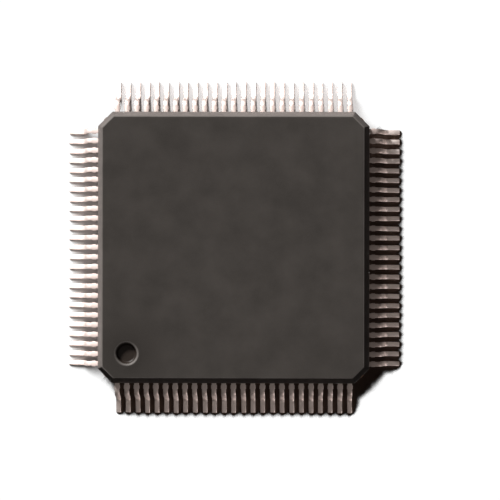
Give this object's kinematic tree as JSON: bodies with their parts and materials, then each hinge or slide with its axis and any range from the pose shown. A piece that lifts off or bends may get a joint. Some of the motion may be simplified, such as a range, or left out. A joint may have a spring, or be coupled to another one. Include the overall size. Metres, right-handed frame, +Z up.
{
  "type": "integrated circuit",
  "caption": "Square moulded quad flat package chip with fine gull-wing leads on all four sides, a dished pin 1 mark, and its die, lead frame and bond wires inside.",
  "frame": {"origin": "centre of the seating plane, under the middle of the body, level with the undersides of the feet", "axes": "+Z up out of the top face, +X and +Y square to the sides, with the pin 1 mark at the -X -Y corner"},
  "size_m": [0.0172, 0.0172, 0.003],
  "materials": {
    "mould_compound": "matte moulded epoxy",
    "tin_plate": "satin tin plating on copper alloy",
    "copper_alloy": "bare rolled copper alloy",
    "silver_epoxy": "silver-filled adhesive",
    "silicon": "polished silicon",
    "gold": "drawn gold wire"
  },
  "bodies": {
    "root": {"mould_body": "mould_compound", "leads_south": "tin_plate", "leads_east": "tin_plate", "leads_north": "tin_plate", "leads_west": "tin_plate", "die_pad": "copper_alloy", "die_attach": "silver_epoxy", "silicon_die": "silicon", "wires_south": "gold", "wires_east": "gold", "wires_north": "gold", "wires_west": "gold"}
  },
  "joints": []
}
